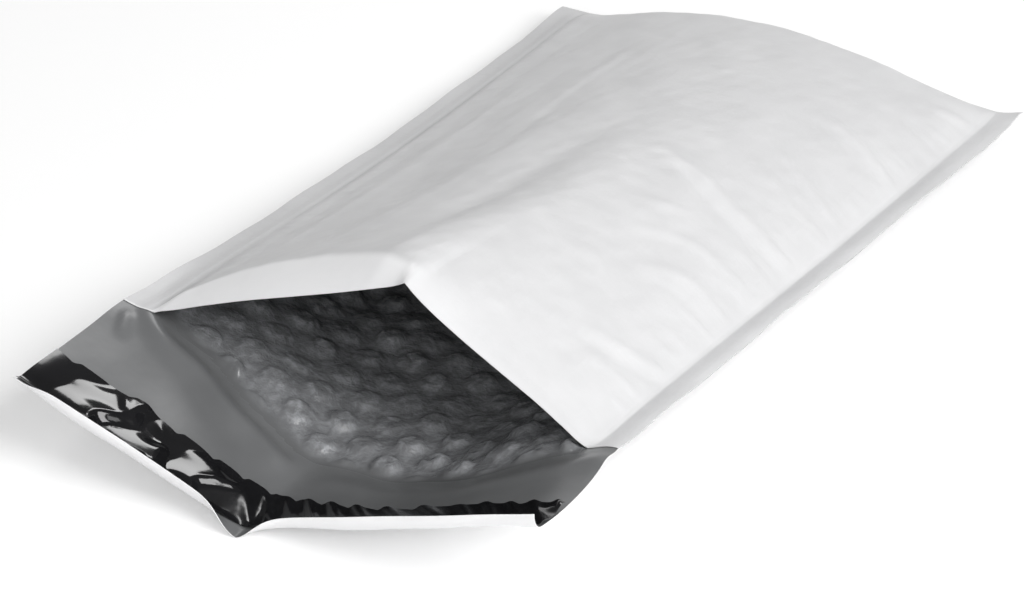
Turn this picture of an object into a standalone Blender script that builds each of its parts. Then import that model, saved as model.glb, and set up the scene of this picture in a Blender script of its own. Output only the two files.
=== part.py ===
"""Padded envelope, open, lying on its back panel with the flap towards -Y.

Four pieces: the outer film with its side seams and flap, the folded bubble lining, the adhesive strip
on the flap and the release liner over it. The mouth stands open like a tent: the front panel is raised
in a ridge, and the back panel and the flap are creased into a shallow V that touches the ground.

The working frame has the mouth at y = 0, the closed end at y = BODY_LENGTH and the ground at z = 0.
The finished part is shifted along y, so that its origin is under the middle of its bounding box.
"""
import bpy
import bmesh
import numpy as np
from mathutils import Vector
from mathutils.geometry import delaunay_2d_cdt

MM = 0.001

# The film bag
BODY_LENGTH = 262 * MM          # mouth to closed end
END_WIDTH = 165 * MM            # over both side seams, at the closed end
MOUTH_WIDTH = 156 * MM          # over both side seams at the mouth, drawn in because it stands open
SEAM_WIDTH = 9 * MM             # heat-sealed flange down each side
FILM_THICKNESS = 0.3 * MM
FLAP_LENGTH = 54 * MM           # cut length of the flap, beyond the mouth
FLAP_FLARE = 4 * MM             # how far the flap's right corner reaches out past the mouth's

# How the open bag lies
SEAM_Z_MOUTH = 25.3 * MM        # height of the side seams at the mouth
SEAM_Z_END = 6.8 * MM           # and at the closed end
RIDGE_Z_MOUTH = 54 * MM         # height of the front panel's ridge at the mouth
RIDGE_Z_END = 21.5 * MM         # and where the closed end begins to round down
RIDGE_X_MOUTH = 11.7 * MM       # the ridge leans to the right at the mouth
CREASE_X = -6.3 * MM            # the back panel's crease, which the ridge meets at the closed end
FOLD_Z = 5.5 * MM               # height of the fold at the closed end
FOLD_REACH = 14 * MM            # length over which the panels round down to that fold
FLAP_CORNER_RISE = 5 * MM       # how far the flap's right corner stands above the mouth's
FLAP_CORNER_DIP = 2 * MM        # how far the flap's right side sags on the way there
RIDGE_CUSP = 1.06               # exponent of the tent's sides at the mouth, 1 is straight
ROUND_FALL = 2.2                # exponent of the rounding at the closed end
FLAT_SHARE_MOUTH = 0.2          # share of the back panel's half width that lies flat, at the mouth
FLAT_SHARE_END = 0.5            # and towards the closed end
SEAM_FALL_LEFT = 2.0            # exponent of the left seam's fall from mouth to end, 1 is straight
SEAM_FALL_RIGHT = 1.0
LEFT_SETTLES = 0.3              # share of the length over which the left half leaves the straight V
FLOOR_SPREADS = 0.6             # share of the length over which the flat floor widens
RIDGE_SOFTENS = 0.7             # share of the length over which the tent becomes a dome
DOME_FULLNESS = 0.85            # exponent on the dome's cosine, below 1 is fuller
END_WALL = 1 * MM               # the doubled-over film at the closed end

# The flap's end edge curls up into a lip, which dies out at the crease
LIP_LENGTH = 7 * MM
LIP_RADIUS = 4.6 * MM
LIP_TAPER = 12 * MM             # distance from the crease over which the curl grows
LIP_CORNER_TAPER = 8 * MM       # distance from the left corner over which it grows

# The bubble lining
LINING_CLEARANCE = 0.5 * MM     # from the film, over the whole sheet
LINING_SHEET = 0.9 * MM
LINING_SIDE_INSET = 7 * MM      # from the inner edge of each seam
LINING_LOWER_EDGE = -8 * MM     # y of the sheet's lower edge, which stands out over the flap
LINING_UPPER_EDGE = 2 * MM      # y of its upper edge, just inside the mouth
LINING_END_GAP = 6 * MM         # from the fold of the lining to the fold of the film
LINING_BEND = 8 * MM            # the padded sheet rounds over the crease and the ridge
BUBBLE_PITCH = 12.7 * MM        # centre to centre, in close-packed rows
BUBBLE_TOP = 7.6 * MM           # width of a bubble's crown
BUBBLE_HEIGHT = 2.2 * MM
BUBBLE_LEAST = 0.15 * MM        # height of a bubble that is pressed flat
BUBBLE_BORDER = 1.6 * MM        # plain border outside the outermost bubbles
LAYER_GAP = 0.4 * MM            # between the crowns of the two layers where the bag is thin

# The adhesive strip and its release liner
STRIP_GAP = 0.3 * MM            # between film, adhesive and liner
ADHESIVE_THICKNESS = 0.2 * MM
LINER_THICKNESS = 0.3 * MM
LINER_WIDTH = 17 * MM
LINER_MARGIN = 5.5 * MM         # bare film between the liner and the cut end of the flap
LINER_SIDE_MARGIN = 0.6 * MM
ADHESIVE_INSET = 1.5 * MM       # the liner covers the adhesive by this much all round

# How finely the surfaces are divided
HALF_COLUMNS = 10               # across each half of a panel
BODY_CELL = 16 * MM             # along the bag
FLAP_CELL = 12 * MM
LIP_ROWS = 3
FOLD_ROWS = 6
SLOPE_STEP = 0.4 * MM           # finite difference for slopes
LEAST_CURL = 0.001              # share of the lip's curvature that counts as flat
PLAIN_SPACING = 8 * MM          # spacing of the lining's points on its plain side
MERGE_DISTANCE = 0.0001 * MM    # points of the flat lining closer than this become one

RUN_Y = -(BODY_LENGTH - FLAP_LENGTH) / 2     # shift that brings the origin under the middle of the box


def lerp(start, end, share):
    return start + (end - start) * share


def smooth(share):
    """Cubic step from 0 to 1."""
    t = np.clip(share, 0.0, 1.0)
    return t * t * (3.0 - 2.0 * t)


def along(y):
    """Share of the way from the mouth to the closed end, 0 on the flap."""
    return np.clip(y / BODY_LENGTH, 0.0, 1.0)


def down_flap(y):
    """Share of the way from the mouth to the cut end of the flap, 0 on the bag."""
    return np.clip(-y / FLAP_LENGTH, 0.0, 1.0)


def crease_line(y):
    """x of the back panel's crease."""
    return CREASE_X


def ridge_line(y):
    """x of the front panel's ridge, which meets the crease at the closed end."""
    return lerp(RIDGE_X_MOUTH, CREASE_X, along(y))


def right_share(x, middle_x, bend):
    """0 left of the middle line and 1 right of it, passing smoothly where the sheet bends round it."""
    if bend == 0.0:
        return np.where(x > middle_x, 1.0, 0.0)
    return smooth((x - middle_x) / (2 * bend) + 0.5)


def outer_edge(side, y):
    """x of the side edge: side is -1 on the left and 1 on the right."""
    half = lerp(MOUTH_WIDTH, END_WIDTH, along(y)) / 2
    flare = FLAP_FLARE * down_flap(y) if side > 0 else 0.0
    return side * (half + flare)


def edge_height(right, y):
    """Height of a side edge, right being its share. The flap's right side dips, then rises."""
    t = down_flap(y)
    fall = lerp(SEAM_FALL_LEFT, SEAM_FALL_RIGHT, right)
    bag = lerp(SEAM_Z_END, SEAM_Z_MOUTH, (1 - along(y)) ** fall)
    flap = FLAP_CORNER_RISE * t ** 2 - 4 * FLAP_CORNER_DIP * t * (1 - t)
    return bag + right * flap


def end_share(y):
    """1 along the bag, falling to 0 on a curve at the closed end."""
    t = np.clip((y - (BODY_LENGTH - FOLD_REACH)) / FOLD_REACH, 0.0, 1.0)
    return 1.0 - t ** ROUND_FALL


def floor_z(x, y, bend=0.0):
    """Underside of the back panel: a straight V on the flap, which spreads into a flat floor with
    smooth banks up to the side seams further in. bend rounds the crease off, for the lining."""
    right = right_share(x, CREASE_X, bend)
    reach = lerp(CREASE_X - outer_edge(-1, y), outer_edge(1, y) - CREASE_X, right)
    u = np.sqrt((x - CREASE_X) ** 2 + bend ** 2) / reach
    settled = lerp(smooth(along(y) / LEFT_SETTLES), 1.0 - down_flap(y), right)
    flat = lerp(FLAT_SHARE_MOUTH, FLAT_SHARE_END, smooth(along(y) / FLOOR_SPREADS))
    bank = smooth((u - flat) / (1.0 - flat))
    z = edge_height(right, y) * lerp(u, bank, settled)
    return lerp(FOLD_Z, z, end_share(y))


def roof_z(x, y, bend=0.0):
    """Top of the front panel: a tent with a sharp ridge at the mouth, a soft dome at the far end."""
    ridge_x = ridge_line(y)
    right = right_share(x, ridge_x, bend)
    left_x, right_x = outer_edge(-1, y) + SEAM_WIDTH, outer_edge(1, y) - SEAM_WIDTH
    reach = lerp(ridge_x - left_x, right_x - ridge_x, right)
    u = np.clip(np.sqrt((x - ridge_x) ** 2 + bend ** 2) / reach, 0.0, 1.0)
    tent = (1.0 - u) ** RIDGE_CUSP
    dome = np.clip(np.cos(np.pi / 2 * u), 0.0, 1.0) ** DOME_FULLNESS
    shape = lerp(tent, dome, smooth(along(y) / RIDGE_SOFTENS))
    level_y = np.minimum(y, BODY_LENGTH - FOLD_REACH)
    seam = lerp(floor_z(left_x, level_y), floor_z(right_x, level_y), right) + 2 * FILM_THICKNESS
    ridge = lerp(RIDGE_Z_MOUTH, RIDGE_Z_END, along(y))
    z = lerp(seam, ridge, shape)
    return lerp(FOLD_Z + 2 * FILM_THICKNESS, z, end_share(y))


def raised(surface, x, y, distance, bend=0.0):
    """Points of a surface moved by a distance along its upward normal."""
    step = SLOPE_STEP
    z = surface(x, y, bend)
    slope_x = (surface(x + step, y, bend) - surface(x - step, y, bend)) / (2 * step)
    slope_y = (surface(x, y, bend) - surface(x, y - step, bend)) / step
    normal = np.stack([-slope_x, -slope_y, np.ones_like(z)], axis=-1)
    normal /= np.linalg.norm(normal, axis=-1, keepdims=True)
    point = np.stack([x + 0 * z, y + 0 * z, z], axis=-1)
    return point + normal * np.asarray(distance)[..., None]


def curled(points, cut_y):
    """The flap's last stretch rolled up about a line across it. cut_y is each point's distance down the
    flat flap, negative; the roll's curvature dies out at the crease and at the left corner."""
    beyond = np.clip(-cut_y - (FLAP_LENGTH - LIP_LENGTH), 0.0, None)
    from_crease = (points[..., 0] - CREASE_X) / LIP_TAPER
    from_corner = (points[..., 0] - outer_edge(-1, cut_y)) / LIP_CORNER_TAPER
    share = (1.0 - np.exp(-from_crease ** 2)) * (1.0 - np.exp(-from_corner ** 2))
    curvature = np.maximum(share, LEAST_CURL) / LIP_RADIUS
    turn = curvature * beyond
    rise = (1.0 - np.cos(turn)) / curvature
    reach = np.sin(turn) / curvature
    moved = points.copy()
    moved[..., 1] += beyond - reach
    moved[..., 2] += rise
    above = points[..., 2] - floor_z(points[..., 0], cut_y)
    moved[..., 1] += above * np.sin(turn)
    moved[..., 2] -= above * (1.0 - np.cos(turn))
    return moved


def columns(middle_x, y):
    """x of the mesh's columns at one y: outer edge, seam, panel to the fold line and back out."""
    left, right = outer_edge(-1, y), outer_edge(1, y)
    near = np.linspace(left + SEAM_WIDTH, middle_x, HALF_COLUMNS + 1)
    far = np.linspace(middle_x, right - SEAM_WIDTH, HALF_COLUMNS + 1)
    return np.concatenate([[left], near, far[1:], [right]])


def rows_between(start, end, cell):
    count = max(1, int(round(abs(end - start) / cell)))
    return np.linspace(start, end, count + 1)


class Body:
    """Vertices and faces of one closed solid, collected piece by piece."""

    def __init__(self):
        self.points = []
        self.faces = []
        self.count = 0

    def add(self, grid):
        """Adds an array of points and returns their numbers in the same layout."""
        flat = grid.reshape(-1, 3)
        numbers = np.arange(self.count, self.count + len(flat)).reshape(grid.shape[:-1])
        self.points.append(flat)
        self.count += len(flat)
        return numbers

    def skin(self, numbers, upward):
        """Faces over a grid whose rows run along +y and whose columns run along +x."""
        a, b = numbers[:-1, :-1], numbers[:-1, 1:]
        c, d = numbers[1:, 1:], numbers[1:, :-1]
        order = (a, b, c, d) if upward else (d, c, b, a)
        self.faces += np.stack([part.ravel() for part in order], axis=-1).tolist()

    def strip(self, first, second):
        """Faces between two lines of points, facing right of the way the first one runs."""
        for k in range(len(first) - 1):
            corners = [first[k], first[k + 1], second[k + 1], second[k]]
            self.faces.append([c for i, c in enumerate(corners) if c != corners[i - 1]])

    def build(self, name, finish):
        mesh = bpy.data.meshes.new(name)
        used = sorted({n for face in self.faces for n in face})
        place = {number: index for index, number in enumerate(used)}
        points = np.concatenate(self.points)[used] + np.array([0.0, RUN_Y, 0.0])
        mesh.from_pydata(points.tolist(), [], [[place[n] for n in face] for face in self.faces])
        work = bmesh.new()
        work.from_mesh(mesh)
        bmesh.ops.triangulate(work, faces=work.faces[:])
        work.to_mesh(mesh)
        work.free()
        mesh.materials.append(finish)
        part = bpy.data.objects.new(name, mesh)
        bpy.context.scene.collection.objects.link(part)
        return part


def material(name, colour, roughness):
    finish = bpy.data.materials.new(name)
    finish.use_nodes = True
    shader = finish.node_tree.nodes["Principled BSDF"]
    shader.inputs["Base Color"].default_value = (*colour, 1.0)
    shader.inputs["Roughness"].default_value = roughness
    shader.inputs["Metallic"].default_value = 0.0
    return finish


def flap_rows():
    """Distances down the flat flap, from its cut end to the mouth, as negative y."""
    lip_start = -(FLAP_LENGTH - LIP_LENGTH)
    lip = np.linspace(-FLAP_LENGTH, lip_start, LIP_ROWS + 1)
    return np.concatenate([lip[:-1], rows_between(lip_start, 0.0, FLAP_CELL)])


def body_rows():
    """y from the mouth to the closed end."""
    fold_start = BODY_LENGTH - FOLD_REACH
    fold = np.linspace(fold_start, BODY_LENGTH - END_WALL, FOLD_ROWS + 1)
    return np.concatenate([rows_between(0.0, fold_start, BODY_CELL), fold[1:], [BODY_LENGTH]])


def panel(surface, rows, middle, distance):
    """Grid of points of one side of a panel, whose columns meet at the middle line."""
    x = np.array([columns(middle(y), y) for y in rows])
    y = np.repeat(rows[:, None], x.shape[1], axis=1)
    return raised(surface, x, y, np.full(x.shape, distance))


def outer_film():
    """The bag as one closed shell: two panels, welded side flanges, end fold, and the flap with its lip."""
    flap_y, bag_y = flap_rows(), body_rows()
    mouth = len(flap_y) - 1
    back_y = np.concatenate([flap_y, bag_y[1:]])
    back_outer = panel(floor_z, back_y, crease_line, 0.0)
    back_inner = panel(floor_z, back_y, crease_line, FILM_THICKNESS)
    flat_y = np.repeat(flap_y[:, None], back_outer.shape[1], axis=1)
    back_outer[:mouth + 1] = curled(back_outer[:mouth + 1], flat_y)
    back_inner[:mouth + 1] = curled(back_inner[:mouth + 1], flat_y)
    front_outer = panel(roof_z, bag_y, ridge_line, 0.0)
    front_inner = panel(roof_z, bag_y, ridge_line, -FILM_THICKNESS)
    for edge in (0, -1):
        flange = back_outer[mouth:, edge] + (0.0, 0.0, 2 * FILM_THICKNESS)
        front_outer[:, edge] = flange

    body = Body()
    bo = body.add(back_outer)
    to = body.add(front_outer)
    bi_flap = body.add(back_inner[:mouth + 1])
    # The pocket between the panels closes on a line down each seam, and stops at the end wall.
    pocket = slice(1, -1)
    last = len(bag_y) - 2
    lower = back_inner[mouth:mouth + last + 1, pocket].copy()
    upper = front_inner[:last + 1, pocket].copy()
    middle = (back_outer[mouth:mouth + last + 1, pocket] + front_outer[:last + 1, pocket]) / 2
    for grid in (lower, upper):
        grid[:, 0] = middle[:, 0]
        grid[:, -1] = middle[:, -1]
    bi = body.add(lower)
    ti = body.add(upper)
    bi[0] = bi_flap[mouth, pocket]
    ti[:, 0], ti[:, -1] = bi[:, 0], bi[:, -1]

    body.skin(bo, upward=False)
    body.skin(to, upward=True)
    body.skin(bi_flap, upward=True)
    body.skin(bi, upward=True)
    body.skin(ti, upward=False)
    body.strip(bo[0], bi_flap[0])
    body.strip(bi_flap[:, 0], bo[:mouth + 1, 0])
    body.strip(bo[:mouth + 1, -1], bi_flap[:, -1])
    body.strip(to[-1], bo[-1])
    body.strip(bi[-1], ti[-1])
    body.strip(ti[0], to[0, pocket])
    body.strip(bi_flap[mouth, :2], to[0, :2])
    body.strip(bi_flap[mouth, -2:], to[0, -2:])
    body.strip(to[1:, 0], bo[mouth + 1:, 0])
    body.strip(bo[mouth + 1:, -1], to[1:, -1])
    body.faces.append([to[0, 0], to[1, 0], bo[mouth + 1, 0], bo[mouth, 0], bi_flap[mouth, 0]])
    body.faces.append([bo[mouth, -1], bo[mouth + 1, -1], to[1, -1], to[0, -1], bi_flap[mouth, -1]])
    finish = material("white_polyethylene_film", (0.80, 0.80, 0.80), 0.38)
    return body.build("outer_film", finish)


def sheet_on_flap(name, finish, inset, lift, thickness):
    """A strip that follows the flap across its whole width, a given height above the film."""
    outer_y = -(FLAP_LENGTH - LINER_MARGIN - inset)
    inner_y = outer_y + LINER_WIDTH - 2 * inset
    side = LINER_SIDE_MARGIN + inset
    rows = rows_between(outer_y, inner_y, FLAP_CELL / 2)
    x = np.array([columns(CREASE_X, y) for y in rows])
    x[:, 0] += side
    x[:, -1] -= side
    y = np.repeat(rows[:, None], x.shape[1], axis=1)
    body = Body()
    layers = []
    for height in (lift, lift + thickness):
        points = raised(floor_z, x, y, np.full(x.shape, FILM_THICKNESS + height))
        layers.append(body.add(curled(points, y)))
    low, high = layers
    body.skin(low, upward=False)
    body.skin(high, upward=True)
    body.strip(low[0], high[0])
    body.strip(high[-1], low[-1])
    body.strip(high[:, 0], low[:, 0])
    body.strip(low[:, -1], high[:, -1])
    return body.build(name, finish)


def adhesive_strip():
    finish = material("clear_pressure_sensitive_adhesive", (0.55, 0.55, 0.52), 0.25)
    return sheet_on_flap("adhesive_strip", finish, ADHESIVE_INSET, STRIP_GAP, ADHESIVE_THICKNESS)


def release_liner():
    finish = material("dark_siliconised_liner", (0.013, 0.013, 0.014), 0.1)
    lift = 2 * STRIP_GAP + ADHESIVE_THICKNESS
    return sheet_on_flap("release_liner", finish, 0.0, lift, LINER_THICKNESS)


class Lining:
    """The folded bubble sheet, laid out flat: x across it, and q along it from the lower mouth edge,
    round the fold at the closed end, and back to the upper mouth edge."""

    def __init__(self):
        self.half = MOUTH_WIDTH / 2 - SEAM_WIDTH - LINING_SIDE_INSET
        self.fold_y = BODY_LENGTH - LINING_END_GAP
        self.lower = self.fold_y - LINING_LOWER_EDGE
        self.upper = self.fold_y - LINING_UPPER_EDGE
        self.turn = BUBBLE_PITCH
        self.total = self.lower + self.turn + self.upper

    def place(self, flat, height, inner):
        """Points of the folded sheet. flat holds x and q; height is that of a bubble's crown."""
        x, q = flat[:, 0], flat[:, 1]
        depth = LINING_CLEARANCE + FILM_THICKNESS
        end_y = self.fold_y - (LINING_SHEET if inner else 0.0)
        below = q < self.lower + self.turn / 2
        share_low = np.clip(q / self.lower, 0.0, 1.0)
        share_high = np.clip((self.total - q) / self.upper, 0.0, 1.0)
        y = np.where(below, lerp(LINING_LOWER_EDGE, end_y, share_low),
                     lerp(LINING_UPPER_EDGE, end_y, share_high))
        room = (roof_z(x, y, LINING_BEND) - floor_z(x, y, LINING_BEND)) / 2
        crown = np.minimum(height, room - depth - LINING_SHEET - LAYER_GAP)
        crown = np.where(height > 0.0, np.maximum(crown, BUBBLE_LEAST), 0.0)
        crown = np.where(y < 0.0, height, crown)
        offset = depth + (LINING_SHEET + crown if inner else 0.0)
        low = raised(floor_z, x, y, offset, LINING_BEND)
        high = raised(roof_z, x, y, -offset, LINING_BEND)
        return np.where(below[:, None], low, high)

    def border(self):
        """Points round the flat sheet, corners included."""
        across = rows_between(-self.half, self.half, PLAIN_SPACING)
        side = np.concatenate([rows_between(0.0, self.lower, BUBBLE_PITCH),
                               rows_between(self.lower + self.turn, self.total, BUBBLE_PITCH)])
        bottom = [(x, 0.0) for x in across]
        right = [(self.half, q) for q in side[1:-1]]
        top = [(x, self.total) for x in across[::-1]]
        left = [(-self.half, q) for q in side[-2:0:-1]]
        return bottom + right + top + left

    def centres(self):
        """Middles of the bubbles, in close-packed rows on each layer."""
        row = BUBBLE_PITCH * np.sqrt(3) / 2
        margin = BUBBLE_PITCH / 2 + BUBBLE_BORDER
        found = []
        for start, length in ((0.0, self.lower), (self.lower + self.turn, self.upper)):
            rows = int((length - 2 * margin) / row) + 1
            first = start + (length - (rows - 1) * row) / 2
            for r in range(rows):
                room = self.half - margin
                shift = BUBBLE_PITCH / 2 * (r % 2)
                reach = int((room - shift) / BUBBLE_PITCH)
                steps = np.arange(-reach - (r % 2), reach + 1)
                found += [(shift + k * BUBBLE_PITCH, first + r * row) for k in steps]
        return found

    def fold_lines(self):
        """Points on the two lines where the sheet turns at the closed end."""
        across = rows_between(-self.half, self.half, BUBBLE_PITCH)[1:-1]
        return [[(x, q) for x in across] for q in (self.lower, self.lower + self.turn)]


def triangulated(points, edges):
    """Delaunay triangles over flat points, keeping the given edges."""
    corners = [Vector(p) for p in points]
    verts, _, faces, origins, _, _ = delaunay_2d_cdt(corners, edges, [], 0, MERGE_DISTANCE)
    return np.array([tuple(v) for v in verts]), faces, origins


def ring(centre, radius):
    angles = np.arange(6) * np.pi / 3
    return [(centre[0] + radius * np.cos(a), centre[1] + radius * np.sin(a)) for a in angles]


def bubble_lining():
    """One folded sheet. Its plain side faces the film, and its inner side carries the bubbles as
    six-sided domes whose feet meet the feet of their neighbours."""
    sheet = Lining()
    border = sheet.border()
    count = len(border)
    frame = [(k, (k + 1) % count) for k in range(count)]
    folds = sheet.fold_lines()

    def with_folds(points, edges):
        for line, ends in zip(folds, fold_ends(border, sheet)):
            start = len(points)
            points += line
            chain = [ends[0]] + list(range(start, start + len(line))) + [ends[1]]
            edges += list(zip(chain[:-1], chain[1:]))

    plain, plain_edges = list(border), list(frame)
    with_folds(plain, plain_edges)
    for start, length in ((0.0, sheet.lower), (sheet.lower + sheet.turn, sheet.upper)):
        for q in rows_between(start, start + length, PLAIN_SPACING)[1:-1]:
            plain += [(x, q) for x in rows_between(-sheet.half, sheet.half, PLAIN_SPACING)[1:-1]]

    dotted, dotted_edges = list(border), list(frame)
    with_folds(dotted, dotted_edges)
    heights = [0.0] * len(dotted)
    feet = {}
    for centre in sheet.centres():
        foot = []
        for corner in ring(centre, BUBBLE_PITCH / 2):
            key = (round(corner[0] / MM, 2), round(corner[1] / MM, 2))
            if key not in feet:
                feet[key] = len(dotted)
                dotted.append(corner)
                heights.append(0.0)
            foot.append(feet[key])
        crown = list(range(len(dotted), len(dotted) + 6))
        dotted += ring(centre, BUBBLE_TOP / 2)
        heights += [BUBBLE_HEIGHT] * 6
        for loop in (foot, crown):
            dotted_edges += [(loop[k], loop[(k + 1) % 6]) for k in range(6)]

    body = Body()
    flat_out, faces_out, _ = triangulated(plain, plain_edges)
    flat_in, faces_in, origins = triangulated(dotted, dotted_edges)
    height_in = np.array([heights[source[0]] if source else 0.0 for source in origins])
    outside = body.add(sheet.place(flat_out, np.zeros(len(flat_out)), inner=False))
    inside = body.add(sheet.place(flat_in, height_in, inner=True))
    body.faces += [[outside[n] for n in reversed(face)] for face in faces_out]
    body.faces += [[inside[n] for n in face] for face in faces_in]
    body.strip(outside[:count].tolist() + [outside[0]], inside[:count].tolist() + [inside[0]])
    finish = material("dark_bubble_film", (0.045, 0.045, 0.047), 0.2)
    return body.build("bubble_lining", finish)


def fold_ends(border, sheet):
    """Numbers of the border points at the two ends of each fold line."""
    found = []
    for q in (sheet.lower, sheet.lower + sheet.turn):
        ends = []
        for x in (-sheet.half, sheet.half):
            gaps = [abs(p[0] - x) + abs(p[1] - q) for p in border]
            ends.append(int(np.argmin(gaps)))
        found.append(ends)
    return found


for old in list(bpy.data.objects):
    bpy.data.objects.remove(old, do_unlink=True)
outer_film()
bubble_lining()
adhesive_strip()
release_liner()
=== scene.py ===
"""Looks of an open padded envelope: white mailing film, bubble lining, adhesive band and release liner.

Every piece is a thin sheet worked out with numpy on a grid of two directions, across the bag and along
it. Heights repeat the shape of the CAD part and add the folds, puckers and ripples that film has.
Lengths are in metres. y counts from the mouth, negative down the flap, until place() moves it.
"""

import bpy
import numpy as np
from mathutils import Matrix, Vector


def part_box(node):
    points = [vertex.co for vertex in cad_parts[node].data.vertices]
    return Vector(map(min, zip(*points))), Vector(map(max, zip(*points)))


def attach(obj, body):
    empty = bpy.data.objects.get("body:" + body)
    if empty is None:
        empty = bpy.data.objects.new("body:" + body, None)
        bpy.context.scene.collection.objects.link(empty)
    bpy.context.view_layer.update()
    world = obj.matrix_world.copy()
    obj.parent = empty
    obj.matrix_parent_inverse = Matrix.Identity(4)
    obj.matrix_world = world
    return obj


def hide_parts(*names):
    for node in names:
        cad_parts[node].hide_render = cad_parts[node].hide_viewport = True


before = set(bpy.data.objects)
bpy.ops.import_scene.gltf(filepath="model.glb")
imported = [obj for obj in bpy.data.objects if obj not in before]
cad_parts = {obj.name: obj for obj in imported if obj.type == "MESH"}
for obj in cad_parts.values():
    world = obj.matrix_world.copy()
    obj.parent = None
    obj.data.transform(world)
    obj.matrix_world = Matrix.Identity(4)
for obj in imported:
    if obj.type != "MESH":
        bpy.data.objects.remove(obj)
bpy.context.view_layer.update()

MM = 0.001
TINY = 1e-9                     # keeps a division or a comparison safe

# The outer film's box in model.glb gives the overall sizes
film_low, film_high = (np.array(corner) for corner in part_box("outer_film"))
END_WIDTH = film_high[0] - film_low[0]
RIDGE_Z_MOUTH = film_high[2]
FLAP_LENGTH = 54 * MM
MOUTH_Y = film_low[1] + FLAP_LENGTH
BODY_LENGTH = film_high[1] - MOUTH_Y

# The bag as it lies, with the values of the CAD part
MOUTH_WIDTH = 156 * MM
SEAM_WIDTH = 9 * MM
HALF_PANEL = MOUTH_WIDTH / 2 - SEAM_WIDTH
FLAP_FLARE = 4 * MM
SEAM_Z_MOUTH = 25.3 * MM
SEAM_Z_END = 6.8 * MM
RIDGE_Z_END = 21.5 * MM
RIDGE_X_MOUTH = 13.7 * MM
CREASE_X = -6.3 * MM
FOLD_Z = 5.5 * MM
FOLD_REACH = 14 * MM
FOLD_START = BODY_LENGTH - FOLD_REACH
FLAP_CORNER_RISE = 5 * MM
FLAP_CORNER_DIP = 2 * MM
RIDGE_CUSP = 1.06
ROUND_FALL = 2.2
FLAT_SHARE_MOUTH = 0.2
FLAT_SHARE_END = 0.5
SEAM_FALL_LEFT = 2.0
SEAM_FALL_RIGHT = 1.0
LEFT_SETTLES = 0.3
FLOOR_SPREADS = 0.6
RIDGE_SOFTENS = 0.7
DOME_FULLNESS = 0.85
LIP_LENGTH = 7 * MM
LIP_START = LIP_LENGTH - FLAP_LENGTH
LIP_RADIUS = 4.6 * MM
LIP_TAPER = 6.5 * MM
LEAST_CURL = 0.001

# The film and its ridge
FILM_THICKNESS = 0.15 * MM
FOLD_GAP = 0.12 * MM            # between the two films of a side weld
RIDGE_STRAIGHT = 4.0            # the ridge keeps its place at the mouth for long, then swings to the crease
RIDGE_BEND_MOUTH = 0.3 * MM     # how far the ridge is rounded at the mouth edge
RIDGE_BEND_BAG = 7 * MM         # a little behind it
RIDGE_BEND_END = 12 * MM        # and towards the closed end
RIDGE_BEND_REACH = 22 * MM      # from the mouth edge to where the ridge has become round
PANEL_HELD_SIDE = 4 * MM        # the front panel's folds die out this close to a weld
PANEL_HELD_END = 12 * MM        # and this close to the closed end
MOUTH_CALM = 22 * MM            # and most of them towards the mouth
MOUTH_FOLD_SHARE = 0.25         # of their height is left at its edge
CRUMPLE_BROAD = 0.16 * MM
CRUMPLE_FINE = 0.07 * MM

# The side welds
WELD_GROOVE = 1.1 * MM          # depth of the line where the panels meet the right weld
WELD_GROOVE_MOUTH = 1.6 * MM    # it is deeper at the mouth
WELD_GROOVE_WIDTH = 5 * MM
WELD_NICK = 0.11 * MM           # the same line on the left is only a nick
WELD_NICK_WIDTH = 5 / 3 * MM
WELD_SWELL = 1.8 * MM           # the left weld's inner line stands higher, so the weld lies nearly level
WELD_SWELL_MOUTH = 1.2 * MM
WELD_SWELL_WIDTH = 7 * MM
WELD_SWELL_REACH = 50 * MM
WELD_DROP_LEFT = 1.0 * MM       # the left weld's outer edge hangs down
WELD_DROP_RIGHT = 1.8 * MM      # the right weld lies lower as a whole
WELD_DROP_END = 0.6 * MM        # and less so at the closed end
WELD_DROP_SPREAD = 18 * MM      # how far into the panel it pulls
WELD_LINE_START = 9.8 * MM      # all of these start this far down the flap
WELD_LINE_FADE = 14 * MM        # and rise to their full height over this length
WELD_WAVE_REACH = 20 * MM
TIP_RISE = 2.0 * MM             # the far right corner of the weld turns up
TIP_REACH = 12 * MM
TIP_POWER = 1.5

# The flap
CREASE_BEND = 4 * MM            # how far the crease is rounded at the mouth; it is sharp at the flap's edge
CORNER_LIFT = 0.5 * MM          # the flap's left corner stands off the table
CORNER_REACH = 11 * MM
FLAP_SAG = 1.3 * MM             # the flap's left half sags, reaches out a little and is rolled up further
FLAP_REACH = 0.9 * MM
FLAP_LEFT_POWER = 1.6
LIP_EXTRA_TURN = 0.28           # share of the roll's turn that is added on the left
LIP_CORNER_LESS = 0.6           # and taken away again right at the corner
LIP_CORNER_REACH = 8 * MM
FLAP_WAVE = 0.25 * MM
FLAP_WAVE_REACH = 30 * MM       # the flap's waves die out over this length inside the bag
CREASE_CALM = 10 * MM           # and this close to the crease

# What the lining's edge leaves in the flap: a swell below it, and a dip closer to it
EDGE_SWELL = 2.0 * MM
EDGE_SWELL_Y = 6.5 * MM
EDGE_SWELL_WIDTH = 3.6 * MM
EDGE_DIP = 0.7 * MM
EDGE_DIP_Y = 1.5 * MM
EDGE_DIP_WIDTH = 2.2 * MM
EDGE_SHARE_RIGHT = 0.25         # both are lower right of the crease
EDGE_STEP_X = CREASE_X + 6 * MM
EDGE_STEP_WIDTH = 20 * MM
EDGE_WELD_START = 5 * MM        # and they are held flat beside the left weld
EDGE_WELD_WIDTH = 13 * MM
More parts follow.
